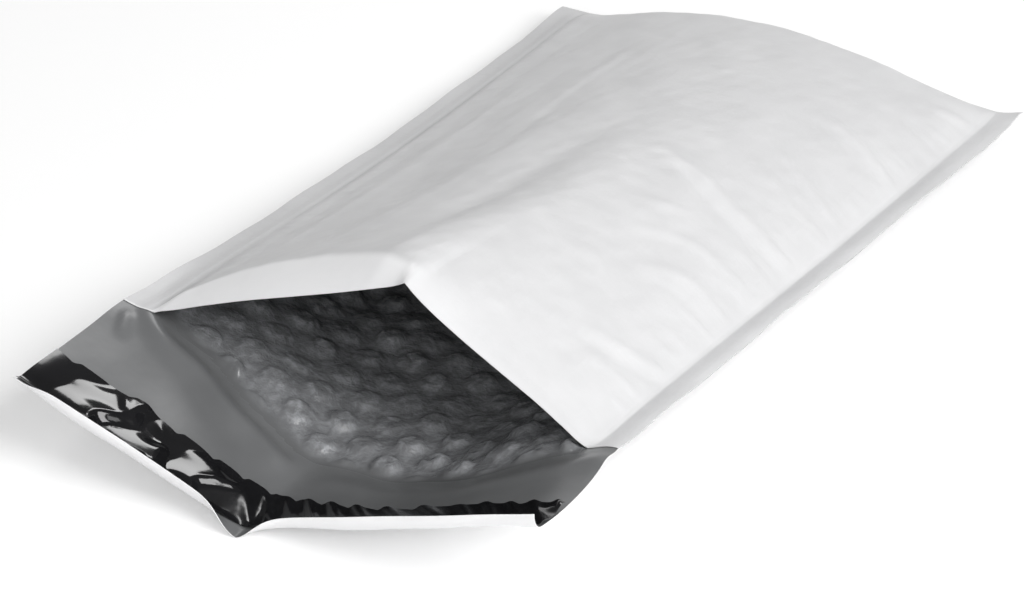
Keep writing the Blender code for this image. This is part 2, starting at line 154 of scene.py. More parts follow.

# The facets behind the mouth edge. Their white is painted lighter than the panels' as painted light, though
# the lining lies behind all but their first 3 mm
FACET_LEFT = 17.5 * MM          # longest reach of the left one from the mouth
FACET_RIDGE = 5 * MM            # reach at the ridge
FACET_RIGHT = 10 * MM           # reach of the right one beside the ridge
FACET_SEAM = 2 * MM             # reach at the right weld
FACET_LEAST = 0.5 * MM
FACET_LEAN = 0.6                # the left one reaches furthest left of its middle
FACET_ARCH = 0.8
FACET_RISE_LEFT = 6.0 * MM
FACET_RISE_RIGHT = 1.8 * MM
FACET_RISE_REACH = 11 * MM      # a facet shorter than this rises less
FACET_FULLNESS = 0.6
FACET_VALLEY = 0.5 * MM         # the soft line behind the right facet
FACET_VALLEY_WIDTH = 3 * MM
FACET_VALLEY_START = 6 * MM
FACET_BLEND = 5 * MM            # the two facets run into each other over this width of the ridge
FACET_FADE = 80 * MM            # the bulge behind the facets dies out over this length

# How far the white film is greyed, as a share of the full grey: by the dark lining behind it on the panels,
# as painted shade on the welds, and less on the facets as painted light
PANEL_TONE = 0.87               # on both panels, from the lining behind them; the left weld is painted darkest, as painted shade
# Painted shade on the right weld, which has no lining behind it
RIGHT_WELD_PAINTED_SHADE = 0.72
FACET_RIGHT_PAINTED_TONE = 0.79       # tone on the right facet, painted lighter than the panels' as painted light
FACET_TONE_SHIFT = 0.95       # in widths of the blend; the tone is full on the ridge already
FACET_EDGE_BLUR = 4 * MM
BACK_TONE_REACH = 8 * MM        # the back panel's tone starts this far down the flap

# The mouth edge. The table gives how far it stands above the tent's straight lines, by x, in millimetres.
MOUTH_EDGE_X = [-69, -65, -57, -38, -20, -4, 8, 16, 22, 30, 43, 57, 66, 69]
MOUTH_EDGE_RISE = [0, 0.5, 1.8, 2.25, 1.6, 1.0, 0.8, -0.4, -0.7, -1.15, -1.05, -1.1, -0.95, 0]
MOUTH_EDGE_SHIFTS = [-6, -3, 0, 3, 6]
MOUTH_EDGE_REACH = 45 * MM
MOUTH_EDGE_TIE = 4 * MM
APEX_PEAK = 1.5 * MM
APEX_WIDTH = 3.5 * MM
APEX_REACH = 9 * MM

# The bubble lining
LINING_THICKNESS = 0.2 * MM
LINING_CLEARANCE = 0.35 * MM
LINING_STAND = FILM_THICKNESS + LINING_CLEARANCE + LINING_THICKNESS
LINING_SIDE_GAP = 0.8 * MM      # from the welds
LINING_END_GAP = 5 * MM
LINING_HALF_MOUTH = HALF_PANEL - LINING_SIDE_GAP
LINING_HALF_END = END_WIDTH / 2 - SEAM_WIDTH - LINING_SIDE_GAP
LINING_UPPER_EDGE = 3 * MM
LINING_EDGE_Y = -14 * MM        # lowest point of the edge that hangs over the flap
LINING_EDGE_X = 14 * MM
LINING_EDGE_RISE = 24 * MM      # how far the edge climbs towards the welds
LINING_EDGE_SINK = 0.02 * MM    # the edge is tacked into the film
LINING_EDGE_THICKNESS = 0.08 * MM
LINING_EDGE_FREE = 9 * MM       # and the sheet comes off it over this length
LINING_SLACK = 0.5 * MM         # the lower layer's loose waves
LINING_SLACK_ROOM = 6 * MM      # begin where half the pocket's height is this, and are full at twice it
LINING_SLACK_START = 3 * MM
LINING_SLACK_REACH = 12 * MM
LINING_APART = 0.3 * MM         # each layer keeps this far from the pocket's middle
LINING_LEAST = 0.2 * MM         # but never closer to the film than this
LINING_APEX_DROP = 0.7 * MM     # the upper layer hangs lower below the ridge's peak
LINING_APEX_WIDTH = 8 * MM
LINING_APEX_REACH = 20 * MM
OPEN_AIR = 1.0                  # the height above the flap, which is without limit

# Its bubbles
BUBBLE_PITCH = 12.7 * MM
BUBBLE_WIDTH = 10.4 * MM
BUBBLE_HEIGHT = 2.4 * MM
BUBBLE_STRAY = 0.6 * MM         # width of the range that a bubble's place is spread over
BUBBLE_LOWEST = 0.3             # share of the full height that the slackest has
BUBBLE_SIDE = 0.5               # share of its radius that a bubble's side takes
BUBBLE_CROWN = 0.25             # share of its height by which its middle is pressed in
BUBBLE_DENT = 0.5
BUBBLE_DENT_PLACE = 0.35        # in radii from its middle
BUBBLE_DENT_WIDTH = 0.3
BUBBLE_BORDER = 2 * MM          # plain border along the cut edges
BUBBLE_BORDER_FADE = 2.5 * MM
BORDER_TONE_START = 1 * MM      # the border's tone gives way to the bubbles' from here
BORDER_TONE_FADE = 6 * MM       # over this length

# The adhesive and its liner
ADHESIVE_LIFT = 0.1 * MM
ADHESIVE_THICKNESS = 0.1 * MM
ADHESIVE_INSET = 1.5 * MM
LINER_LIFT = 0.35 * MM
LINER_THICKNESS = 0.12 * MM
LINER_INNER_EDGE = -31.5 * MM
LINER_MARGIN = 1.2 * MM         # from the flap's edge
LINER_MARGIN_CREASE = 5.0 * MM  # and where the flap is creased
LINER_CREASE_REACH = 12 * MM
LINER_SIDE_MARGIN = 0.3 * MM
LINER_NOTCH = 2.2 * MM          # depth of the notches in its inner edge
LINER_TOOTH = 11 * MM           # and their spacing
RIPPLE_HEIGHT = 0.75 * MM       # the liner's slanted ripples towards the right
RIPPLE_LENGTH = 8.5 * MM
RIPPLE_SLANT = 0.9
RIPPLE_MIDDLE_Y = -40 * MM
RIPPLE_START_X = -16 * MM
RIPPLE_STEP = 20 * MM
LINER_WAVE = 0.10 * MM          # and its low waves on the left
BLISTER_CREST = 0.8             # share of a blister's width where it is highest


def lerp(start, end, share):
    """The value at a share of the way from start to end."""
    return start + (end - start) * share


def smooth(share):
    """Cubic step from 0 to 1."""
    t = np.clip(share, 0.0, 1.0)
    return t * t * (3.0 - 2.0 * t)


def bell(gap, width):
    """Bell-shaped curve: 1 where the gap is 0, and e to the minus square of the gap in widths elsewhere."""
    return np.exp(-(gap / width) ** 2)


def sine(at, height, length, phase=0.0):
    """A sine wave; its height and the length of one radian are in millimetres."""
    return height * MM * np.sin(at / (length * MM) + phase)


def along(y):
    """Share of the way from the mouth to the closed end; 0 on the flap."""
    return np.clip(y / BODY_LENGTH, 0.0, 1.0)


def down_flap(y):
    """Share of the way from the mouth down the flap; 0 on the bag."""
    return np.clip(-y / FLAP_LENGTH, 0.0, 1.0)


def ridge_line(y):
    """x of the ridge: its place at the mouth, moved to the crease by a power of the way along."""
    return lerp(RIDGE_X_MOUTH, CREASE_X, along(y) ** RIDGE_STRAIGHT)


def outer_edge(side, y):
    """x of the side edge: side is -1 on the left and 1 on the right."""
    half = lerp(MOUTH_WIDTH, END_WIDTH, along(y)) / 2
    flare = FLAP_FLARE * down_flap(y) * (side > 0)
    return side * (half + flare)


def edge_height(right, y):
    """Height of a side edge, right being 1 on the right. The flap's right side dips, then rises."""
    t = down_flap(y)
    fall = lerp(SEAM_FALL_LEFT, SEAM_FALL_RIGHT, right)
    bag = lerp(SEAM_Z_END, SEAM_Z_MOUTH, (1 - along(y)) ** fall)
    flap = FLAP_CORNER_RISE * t ** 2 - 4 * FLAP_CORNER_DIP * t * (1 - t)
    return bag + right * flap


def end_share(y):
    """1 along the bag, falling to 0 at the closed end by a power of the way through the fold."""
    t = np.clip((y - FOLD_START) / FOLD_REACH, 0.0, 1.0)
    return 1.0 - t ** ROUND_FALL


def floor_z(x, y):
    """Underside of the back panel: a V on the flap, rounded to a hyperbola at its bottom, that spreads into
    a flat floor with smooth banks."""
    right = np.where(x > CREASE_X, 1.0, 0.0)
    reach = np.where(x > CREASE_X, outer_edge(1, y) - CREASE_X, CREASE_X - outer_edge(-1, y))
    bend = CREASE_BEND * (1.0 - down_flap(y) ** 2) + TINY
    u = (np.hypot(x - CREASE_X, bend) - bend) / (np.hypot(reach, bend) - bend)
    settled = lerp(smooth(along(y) / LEFT_SETTLES), 1.0 - down_flap(y), right)
    flat = lerp(FLAT_SHARE_MOUTH, FLAT_SHARE_END, smooth(along(y) / FLOOR_SPREADS))
    bank = smooth((u - flat) / (1.0 - flat))
    return lerp(FOLD_Z, edge_height(right, y) * lerp(u, bank, settled), end_share(y))


def roof_z(x, y):
    """Top of the front panel without its wrinkles: a tent at the mouth, its ridge rounded to a hyperbola,
    that softens into a dome, a power of a cosine."""
    ridge_x = ridge_line(y)
    right = np.where(x > ridge_x, 1.0, 0.0)
    left_x = outer_edge(-1, y) + SEAM_WIDTH
    right_x = outer_edge(1, y) - SEAM_WIDTH
    reach = lerp(ridge_x - left_x, right_x - ridge_x, right)
    bend = lerp(RIDGE_BEND_MOUTH, RIDGE_BEND_BAG, smooth(y / RIDGE_BEND_REACH))
    bend = lerp(bend, RIDGE_BEND_END, smooth(along(y) / RIDGE_SOFTENS))
    straight = np.clip(np.abs(x - ridge_x) / reach, 0.0, 1.0)
    whole = np.hypot(reach, bend)
    round_off = (whole - np.hypot(straight * reach, bend)) / (whole - bend)
    tent = np.where(straight < 1.0, np.clip(round_off, 0.0, 1.0), 0.0) ** RIDGE_CUSP
    dome = np.clip(np.cos(np.pi / 2 * straight), 0.0, 1.0) ** DOME_FULLNESS
    shape = lerp(tent, dome, smooth(along(y) / RIDGE_SOFTENS))
    level_y = np.minimum(y, FOLD_START)
    seam = lerp(floor_z(left_x, level_y), floor_z(right_x, level_y), right)
    ridge = lerp(RIDGE_Z_MOUTH, RIDGE_Z_END, along(y))
    return lerp(FOLD_Z, lerp(seam, ridge, shape), end_share(y))


def left_bulge(x):
    """1 at the flap's left corner, falling to 0 at the crease: a quarter cosine of a power of the way."""
    u = np.clip((x + MOUTH_WIDTH / 2) / (CREASE_X + MOUTH_WIDTH / 2), 0.0, 1.0)
    return np.cos(np.pi / 2 * u ** FLAP_LEFT_POWER)


def curled(points, cut_y):
    """The flap's last stretch rolled up about a line across it. The roll's curvature dies out at the
    crease, and a bell takes from its turn at the left corner; cut_y is each point's distance down the flat
    flap, negative."""
    x = points[..., 0]
    beyond = np.clip(LIP_START - cut_y, 0.0, None)
    curvature = np.maximum(1.0 - bell(x - CREASE_X, LIP_TAPER), LEAST_CURL) / LIP_RADIUS
    bulge = left_bulge(x)
    corner = bell(x - outer_edge(-1, cut_y), LIP_CORNER_REACH)
    turn = curvature * beyond * (1.0 + LIP_EXTRA_TURN * bulge - LIP_CORNER_LESS * corner)
    above = points[..., 2] - floor_z(x, cut_y) + FLAP_SAG * bulge * down_flap(cut_y)
    moved = points.copy()
    moved[..., 1] += beyond - np.sin(turn) / curvature + above * np.sin(turn)
    moved[..., 1] -= FLAP_REACH * bulge * down_flap(cut_y) ** 2
    moved[..., 2] += (1.0 - np.cos(turn)) / curvature - above * (1.0 - np.cos(turn))
    return moved


# A fold is worked out on an arc of this many points, and dies out beyond this many widths
FOLD_ARC_POINTS = 28
FOLD_WIDTHS = 4


def fold_height(x, y, folds):
    """Sum of folds. Each runs on a quadratic arc through its start, middle and end, in millimetres, with
    a bell-shaped section of its height and width. It fades in over its first half and, if it is free, out
    over its last third. A negative height is a valley."""
    total = np.zeros(np.broadcast(x, y).shape)
    t = np.linspace(0.0, 1.0, FOLD_ARC_POINTS)[:, None]
    for start, middle, end, height, width, free in folds:
        start, middle, end = (np.array(point) * MM for point in (start, middle, end))
        handle = 2 * middle - (start + end) / 2
        arc = (1 - t) ** 2 * start + 2 * t * (1 - t) * handle + t ** 2 * end
        low = arc.min(axis=0) - FOLD_WIDTHS * width * MM
        high = arc.max(axis=0) + FOLD_WIDTHS * width * MM
        near = (x > low[0]) & (x < high[0]) & (y > low[1]) & (y < high[1])
        if not near.any():
            continue
        px = np.broadcast_to(x, near.shape)[near]
        py = np.broadcast_to(y, near.shape)[near]
        stretches = arc[1:] - arc[:-1]
        nearest = np.full(px.shape, np.inf)
        place_on = np.zeros(px.shape)
        for k, (dx, dy) in enumerate(stretches):
            from_x, from_y = px - arc[k, 0], py - arc[k, 1]
            share = np.clip((from_x * dx + from_y * dy) / (dx ** 2 + dy ** 2), 0, 1)
            gap = np.hypot(from_x - share * dx, from_y - share * dy)
            place_on = np.where(gap < nearest, (k + share) / len(stretches), place_on)
            nearest = np.minimum(gap, nearest)
        fade = smooth(place_on * 2)
        if free:
            fade = fade * smooth((1 - place_on) * 3)
        total[near] += height * MM * fade * bell(nearest, width * MM)
    return total


def ripple(x, y, waves, shortest, longest, seed):
    """Waves of mixed directions and lengths added up, between about -1 and 1."""
    rng = np.random.default_rng(seed)
    total = 0.0
    for _ in range(waves):
        heading, phase = rng.uniform(0, 2 * np.pi, 2)
        length = rng.uniform(shortest, longest)
        total = total + np.sin(2 * np.pi * (x * np.cos(heading) + y * np.sin(heading)) / length + phase)
    return total / np.sqrt(waves)


# Folds of the front panel's right half, read off the photograph: start, middle, end, height, width, free
RIGHT_FOLDS = [
    ((10, 141), (43, 126), (71, 121), 1.63, 3.5, False),
    ((20, 128), (46, 120), (68, 112), -0.87, 3.5, True),
    ((5, 124), (14, 120.5), (23, 115), 0.54, 2.2, True),
    ((26, 98), (37, 105), (46, 112), 0.49, 2.2, True),
    ((34, 78), (46, 96), (66, 97), 0.5, 2.4, False),
    ((42, 69), (54, 82), (70, 82), 0.55, 2.3, False),
    ((44, 63), (54, 74), (68, 74), -0.43, 2.2, True),
    ((44, 36), (57, 40), (72, 48), 0.6, 1.9, False),
    ((46, 31), (58, 35), (71, 42), -0.5, 1.9, False),
    ((50, 27), (60, 30), (71, 33), 0.43, 2.2, False),
    ((32, 201), (52, 197), (72, 188), 0.87, 2.6, False),
    ((34, 195), (50, 190), (66, 181), -0.54, 2.7, True),
    ((29, 178), (50, 162), (71, 154), 0.65, 2.4, False),
    ((36, 160), (52, 148), (70, 142), 0.43, 2.3, False),
    ((57, 220), (63, 219), (72, 215), 0.54, 2, False),
    ((59, 239), (65, 242), (74, 246), 0.65, 2, False),
    ((40, 228), (52, 226), (64, 230), 0.38, 3, True),
    ((24, 60), (36, 64), (48, 60), 0.27, 3.2, True),
]

# Broad waves that run along the bag beside the ridge
LONG_WAVES = [
    ((-24, 24), (-24, 78), (-14, 165), 1.2, 8.5, True),
    ((-4, 22), (-4, 82), (3, 165), -1.1, 6.0, True),
    ((-38, 60), (-44, 130), (-40, 220), -0.5, 8.0, True),
    ((-56, 30), (-55, 110), (-50, 215), 0.6, 6.0, True),
    ((30, 60), (34, 130), (26, 220), 0.5, 9.0, True),
]

# A short fold that catches the light on the flap, below the mouth's left corner
CORNER_GLINT = [((-76, -1), (-72.5, -7), (-69, -15), 0.8, 1.7, True)]
CORNER_GLINT_START = 4 * MM


def left_streaks():
    """Long thin folds that run down the left half, nearly along the weld, in millimetres."""
    rng = np.random.default_rng(11)
    folds = []
    for _ in range(60):
        x = rng.uniform(-72, -18)
        y = rng.uniform(14, 190)
        length = rng.uniform(28, 95)
        drift = rng.uniform(-5, 3)
        bow = rng.uniform(-1.5, 1.5)
        height = rng.uniform(0.08, 0.2) * rng.choice([-1, 1])
        width = rng.uniform(1.4, 2.6)
        middle = (x + drift / 2 + bow, y + length / 2)
        folds.append(((x, y), middle, (x + drift, y + length), height, width, True))
    return folds


def weld_puckers():
    """Short folds that start at both welds and run into the panel, closer together on the right. Their
    places and sizes are in millimetres."""
    rng = np.random.default_rng(5)
    folds = []
    for side, spacing in ((1, 6.5), (-1, 11)):
        for y in np.arange(9, 246, spacing):
            y = y + rng.uniform(-2.5, 2.5)
            seam = (outer_edge(side, y * MM) - side * SEAM_WIDTH) / MM
            length = rng.uniform(5, 15)
            slant = rng.uniform(-2.5, 4.5)
            height = rng.uniform(0.18, 0.42)
            width = rng.uniform(0.8, 1.4)
            start = (seam - side * length, y + slant)
            middle = (seam - side * length / 2, y + slant / 3)
            folds.append((start, middle, (seam, y), height, width, False))
    return folds


FRONT_FOLDS = RIGHT_FOLDS + LONG_WAVES + left_streaks() + weld_puckers()


def right_of_ridge(x):
    """Smooth step from 0 on the left facet to 1 on the right one."""
    return smooth((x - RIDGE_X_MOUTH) / FACET_BLEND + 0.5)


def facet_reach(x):
    """How far the facet, whose white is painted lighter, reaches back from the mouth: a leaning arch on the
    left half, raised at the ridge by a fourth power, and on the right a band that narrows towards the weld
    by a square."""
    u = np.clip((x + HALF_PANEL) / (RIDGE_X_MOUTH + HALF_PANEL), 0.0, 1.0) ** FACET_LEAN
    left = FACET_LEFT * (4 * u * (1 - u)) ** FACET_ARCH + FACET_RIDGE * u ** 4
    v = np.clip((x - RIDGE_X_MOUTH) / (HALF_PANEL - RIDGE_X_MOUTH), 0.0, 1.0)
    right = lerp(FACET_SEAM, FACET_RIGHT, (1 - v) ** 2)
    return lerp(left, right, right_of_ridge(x)) + FACET_LEAST


def facet_lift(x, y):
    """The bulge behind the mouth edge: an arch across the bag that rises over the facet, half evenly and
    half as a quarter sine, then dies out along the bag. Behind the right facet lies a bell-shaped valley."""
    reach = facet_reach(x)
    inside = np.clip((x + HALF_PANEL) / (2 * HALF_PANEL), 0.0, 1.0)
    arch = np.clip(4 * inside * (1 - inside), 0.0, 1.0) ** FACET_FULLNESS
    highest = lerp(FACET_RISE_LEFT, FACET_RISE_RIGHT, right_of_ridge(x)) * arch
    rise = highest * np.clip(reach / FACET_RISE_REACH, 0.0, 1.0)
    inward = np.clip(y / reach, 0.0, 1.0)
    ramp = (inward + np.sin(np.pi / 2 * inward)) / 2
    fade = 1.0 - smooth((y - reach) / FACET_FADE)
    valley = FACET_VALLEY * right_of_ridge(x) * bell(y - reach, FACET_VALLEY_WIDTH)
    return rise * ramp * fade - valley * smooth(y / FACET_VALLEY_START)


def mouth_edge(x, y):
    """The mouth edge's own curve: its table read at five shifted places and averaged, and a peak at the
    ridge that falls off exponentially. Both die out along the bag."""
    curve = sum(np.interp(x / MM + shift, MOUTH_EDGE_X, MOUTH_EDGE_RISE) for shift in MOUTH_EDGE_SHIFTS)
    rise = curve / len(MOUTH_EDGE_SHIFTS) * MM
    peak = APEX_PEAK * np.exp(-np.abs(x - ridge_line(y)) / APEX_WIDTH) * np.exp(-y / APEX_REACH)
    tied = smooth((HALF_PANEL - np.abs(x)) / MOUTH_EDGE_TIE)
    return tied * (rise * (1.0 - smooth(y / MOUTH_EDGE_REACH)) + peak)


def weld_line(x, y):
    """Both films along the inner line of a weld: a bell-shaped groove, and on the left a broad bell-shaped
    swell too, from which the weld hangs down. The right weld lies lower as a whole. All of it dies out on
    the flap and at the closed end."""
    left_gap = x - outer_edge(-1, y) - SEAM_WIDTH
    right_gap = outer_edge(1, y) - SEAM_WIDTH - x
    away = smooth(y / WELD_SWELL_REACH)
    width = np.where(left_gap > 0.0, WELD_SWELL_WIDTH, WELD_SWELL_WIDTH / 2)
    swell = lerp(WELD_SWELL_MOUTH, WELD_SWELL, away) * bell(left_gap, width)
    nick = WELD_NICK * bell(left_gap, WELD_NICK_WIDTH)
    groove = lerp(WELD_GROOVE_MOUTH, WELD_GROOVE, away) * bell(right_gap, WELD_GROOVE_WIDTH)
    hang = WELD_DROP_LEFT * np.clip(-left_gap / SEAM_WIDTH, 0.0, 1.0)
    drop = lerp(WELD_DROP_RIGHT, WELD_DROP_END, along(y)) * (1.0 - smooth(right_gap / WELD_DROP_SPREAD))
    starts = smooth((y + WELD_LINE_START) / WELD_LINE_FADE)
    ends = smooth((BODY_LENGTH - y) / WELD_LINE_FADE)
    return (swell - hang - nick - groove - drop) * starts * ends


def front_z(x, y):
    """Top of the front panel with its folds, which the welds and the closed end hold flat."""
    seam_gap = np.minimum(x - outer_edge(-1, y), outer_edge(1, y) - x) - SEAM_WIDTH
    held = smooth(seam_gap / PANEL_HELD_SIDE) * smooth((BODY_LENGTH - y) / PANEL_HELD_END)
    calm = smooth(y / MOUTH_CALM)
    folds = fold_height(x, y, FRONT_FOLDS) * lerp(MOUTH_FOLD_SHARE, 1.0, calm)
    broad = CRUMPLE_BROAD * ripple(x, y, waves=9, shortest=14 * MM, longest=34 * MM, seed=3)
    fine = CRUMPLE_FINE * ripple(x, y, waves=8, shortest=6 * MM, longest=11 * MM, seed=8)
    loose = held * (folds + (broad + fine) * calm)
    return roof_z(x, y) + loose + facet_lift(x, y) + mouth_edge(x, y) + weld_line(x, y)


def lining_edge(x):
    """y of the lining's lower edge: a parabola that hangs lowest right of the crease, with two sines."""
    half = MOUTH_WIDTH / 2 + LINING_EDGE_X
    arc = LINING_EDGE_RISE * ((x - LINING_EDGE_X) / half) ** 2
    return LINING_EDGE_Y + arc + sine(x, 1.2, 9) + sine(x, 0.6, 4, 1.0)


def back_z(x, y):
    """Underside of the back panel and flap, with the bell-shaped swell and dip that the lining's edge
    leaves in the film, low waves, and the flap's sag and lifted corner. It never goes below the table."""
    beside = y - lining_edge(x)
    swell = EDGE_SWELL * bell(beside + EDGE_SWELL_Y, EDGE_SWELL_WIDTH)
    dip = EDGE_DIP * bell(beside + EDGE_DIP_Y, EDGE_DIP_WIDTH)
    on_left = smooth((EDGE_STEP_X - x) / EDGE_STEP_WIDTH)
    off_crease = smooth(np.abs(x - CREASE_X) / CREASE_CALM)
    off_weld = smooth((x - outer_edge(-1, y) - EDGE_WELD_START) / EDGE_WELD_WIDTH)
    mark = (swell - dip) * lerp(EDGE_SHARE_RIGHT, 1.0, on_left) * off_crease * off_weld
    wave = FLAP_WAVE * ripple(x, y, waves=7, shortest=18 * MM, longest=40 * MM, seed=21)
    glint = fold_height(x, y, CORNER_GLINT) * smooth(-y / CORNER_GLINT_START)
    loose = (mark + wave + glint) * smooth(1.0 - y / FLAP_WAVE_REACH) * off_crease
    corner = smooth(1.0 - (x + MOUTH_WIDTH / 2) / CORNER_REACH) * down_flap(y) ** 2
    hang = CORNER_LIFT * corner - FLAP_SAG * left_bulge(x) * down_flap(y)
    return np.maximum(floor_z(x, y) + loose + hang + weld_line(x, y), 0.0)


def tip_rise(x, y):
    """The far right corner of the weld turns up, and both welds are a little wavy along their length. Both
    grow by a power of the way out across the weld."""
    out = np.clip((np.abs(x) - outer_edge(1, y)) / SEAM_WIDTH + 1.0, 0.0, 1.0)
    tip = TIP_RISE * smooth((y - BODY_LENGTH) / TIP_REACH + 1.0) * (x > 0)
    wave = sine(y, 0.3, 13) + sine(y, 0.2, 5, 2.0)
    return out ** TIP_POWER * (tip + wave * smooth(y / WELD_WAVE_REACH))


def grid_normals(points):
    """Unit normals of a grid of points, from its central differences."""
    normal = np.cross(np.gradient(points, axis=1), np.gradient(points, axis=0))
    return normal / np.maximum(np.linalg.norm(normal, axis=-1, keepdims=True), 1e-12)


def place(points):
    """From the working frame, whose y counts from the mouth, into the part's frame."""
    return points + np.array([0.0, MOUTH_Y, 0.0])


def steps(*stops):
    """Values from stop to stop; every second argument is the number of cells between its neighbours."""
    ends, counts = stops[0::2], stops[1::2]
    parts = [np.linspace(a, b, n + 1)[:-1] for a, b, n in zip(ends[:-1], ends[1:], counts)]
    return np.concatenate(parts + [[ends[-1]]])


def shell_faces(rows, columns):
    """Corner numbers of two grids, one above the other, and of the rim that joins them, and the numbers
    round the first grid's edge."""
    count = rows * columns
    number = np.arange(count).reshape(rows, columns)
    quads = np.stack([number[:-1, :-1], number[:-1, 1:], number[1:, 1:], number[1:, :-1]], axis=-1)
    quads = quads.reshape(-1, 4)
    ring = np.concatenate([number[0, :-1], number[:-1, -1], number[-1, :0:-1], number[:0:-1, 0]])
    after = np.roll(ring, -1)
    rim = np.stack([ring, after, after + count, ring + count], axis=-1)
    return quads[:, ::-1], quads + count, rim, ring


def sharpen_rim(mesh, ring, count):
    """Marks the edges round both grids as sharp, so that the thin rim is shaded apart."""
    ends = np.empty(2 * len(mesh.edges), dtype=np.int32)
    mesh.edges.foreach_get("vertices", ends)
    ends = ends.reshape(-1, 2)
    on_ring = np.zeros(2 * count, dtype=bool)
    on_ring[np.concatenate([ring, ring + count])] = True
    same_side = (ends[:, 0] < count) == (ends[:, 1] < count)
    mesh.edges.foreach_set("use_edge_sharp", on_ring[ends[:, 0]] & on_ring[ends[:, 1]] & same_side)


def shell(name, outer, inner, materials, shares=()):
    """A thin closed shell from two grids of the same shape, rows along the bag and columns to the right.
    The outer side and the rim get the first material and the inner side the last. shares are pairs of a
    name and a grid of values from 0 to 1, kept on the mesh for its material."""
    rows, columns = outer.shape[:2]
    outside, inside, rim, ring = shell_faces(rows, columns)
    faces = np.concatenate([outside, inside, rim])
    slots = np.repeat([0, len(materials) - 1, 0], [len(outside), len(inside), len(rim)])
    points = place(np.concatenate([outer.reshape(-1, 3), inner.reshape(-1, 3)]))
    mesh = bpy.data.meshes.new(name)
    mesh.vertices.add(len(points))
    mesh.vertices.foreach_set("co", points.ravel())
    mesh.loops.add(faces.size)
    mesh.loops.foreach_set("vertex_index", faces.ravel())
    mesh.polygons.add(len(faces))
    mesh.polygons.foreach_set("loop_start", np.arange(0, faces.size, 4))
    mesh.polygons.foreach_set("loop_total", np.full(len(faces), 4))
    mesh.polygons.foreach_set("material_index", slots)
    mesh.polygons.foreach_set("use_smooth", np.ones(len(faces), dtype=bool))
    for material in materials:
        mesh.materials.append(material)
    mesh.update(calc_edges=True)
    mesh.validate()
    sharpen_rim(mesh, ring, rows * columns)
    for key, values in shares:
        share = mesh.attributes.new(key, "FLOAT", "POINT")
        share.data.foreach_set("value", np.tile(values.ravel(), 2).astype(np.float32))
    piece = bpy.data.objects.new(name, mesh)
    bpy.context.scene.collection.objects.link(piece)
    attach(piece, "root")
    return piece


# Cells of the film's grid across the bag: left weld, left part, right part and right weld
FILM_CELLS = (8, 64, 64, 8)


def film_grid(middles, rows):
    """x and y of the film's grid. middles are the x where each row's left part meets its right part."""
    weld_left, part_left, part_right, weld_right = FILM_CELLS
    x = []
    for middle, y in zip(middles, rows):
        left = outer_edge(-1, y)
        right = outer_edge(1, y)
        x.append(steps(left, weld_left, left + SEAM_WIDTH, part_left, middle,
                       part_right, right - SEAM_WIDTH, weld_right, right))
    return np.array(x), np.repeat(rows[:, None], sum(FILM_CELLS) + 1, axis=1)


def back_film(rows):
    """Grid of the flap and the back panel."""
    x, y = film_grid(np.full(rows.shape, CREASE_X), rows)
    points = np.stack([x, y, back_z(x, y) + tip_rise(x, y)], axis=-1)
    flap = rows <= 0.0
    points[flap] = curled(points[flap], y[flap])
    return points


def front_film(rows, back, back_rows):
    """Grid of the front panel, and where it is a weld. There it lies on the back film, whose heights are
    read off between its rows."""
    x, y = film_grid(ridge_line(rows), rows)
    weld = (x <= outer_edge(-1, y) + SEAM_WIDTH + TINY) | (x >= outer_edge(1, y) - SEAM_WIDTH - TINY)
    below = np.array([np.interp(rows, back_rows, column) for column in back[..., 2].T]).T
    panel = np.maximum(front_z(x, y), back_z(x, y)) + tip_rise(x, y)
    z = np.where(weld, below, panel) + 2 * FILM_THICKNESS + FOLD_GAP
    return np.stack([x, y, z], axis=-1), weld


def front_grey_with_painted_light(x, y, weld):
    """Share of grey on the front panel: the lining's grey behind the facets, less on the facets as painted
    light, and painted shade on each weld, the left one darkest.
    """
    # Painted light: the facets get less grey than the panels behind them
    facet_tone = FACET_RIGHT_PAINTED_TONE * smooth((x - RIDGE_X_MOUTH) / FACET_BLEND + FACET_TONE_SHIFT)
    panel = lerp(facet_tone, PANEL_TONE, smooth((y - facet_reach(x)) / FACET_EDGE_BLUR + 0.5))
    # Painted shade: full grey on the left weld, less on the right one
    return np.where(weld & (y > 0.0), np.where(x < 0.0, 1.0, RIGHT_WELD_PAINTED_SHADE), panel)


def envelope_film(white, grey):
    """One sheet of film: up the flap, along the back panel, round the closed end and back to the mouth.
    Rows of the grid run along it, closer together where it bends more, and the columns across it."""
    back_rows = steps(-FLAP_LENGTH, 9, LIP_START, 36, 0.0, 14, 40 * MM, 26, FOLD_START, 10, BODY_LENGTH)
    front_rows = steps(BODY_LENGTH, 12, FOLD_START, 158, 34 * MM, 34, 0.0)[1:]
    back = back_film(back_rows)
    front, weld = front_film(front_rows, back, back_rows)
    outer = np.concatenate([back, front])
    inner = outer + FILM_THICKNESS * grid_normals(outer)
    start = smooth(back_rows / BACK_TONE_REACH + 1.0)
    lined_back = PANEL_TONE * np.repeat(start[:, None], back.shape[1], axis=1)
    lining_grey_and_painted_light = np.concatenate([lined_back, front_grey_with_painted_light(front[..., 0], front[..., 1], weld)])
    piece = shell("envelope_film", outer, inner, [white, grey], [("lining_grey_and_painted_light", lining_grey_and_painted_light)])
    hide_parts("outer_film")
    return piece


def scatter(i, j, salt):
    """A fixed value from 0 to 1 for each bubble, from the fraction of a large sine of its numbers."""
    value = np.sin(i * 12.9898 + j * 78.233 + salt * 37.719) * 43758.5453
    return value - np.floor(value)


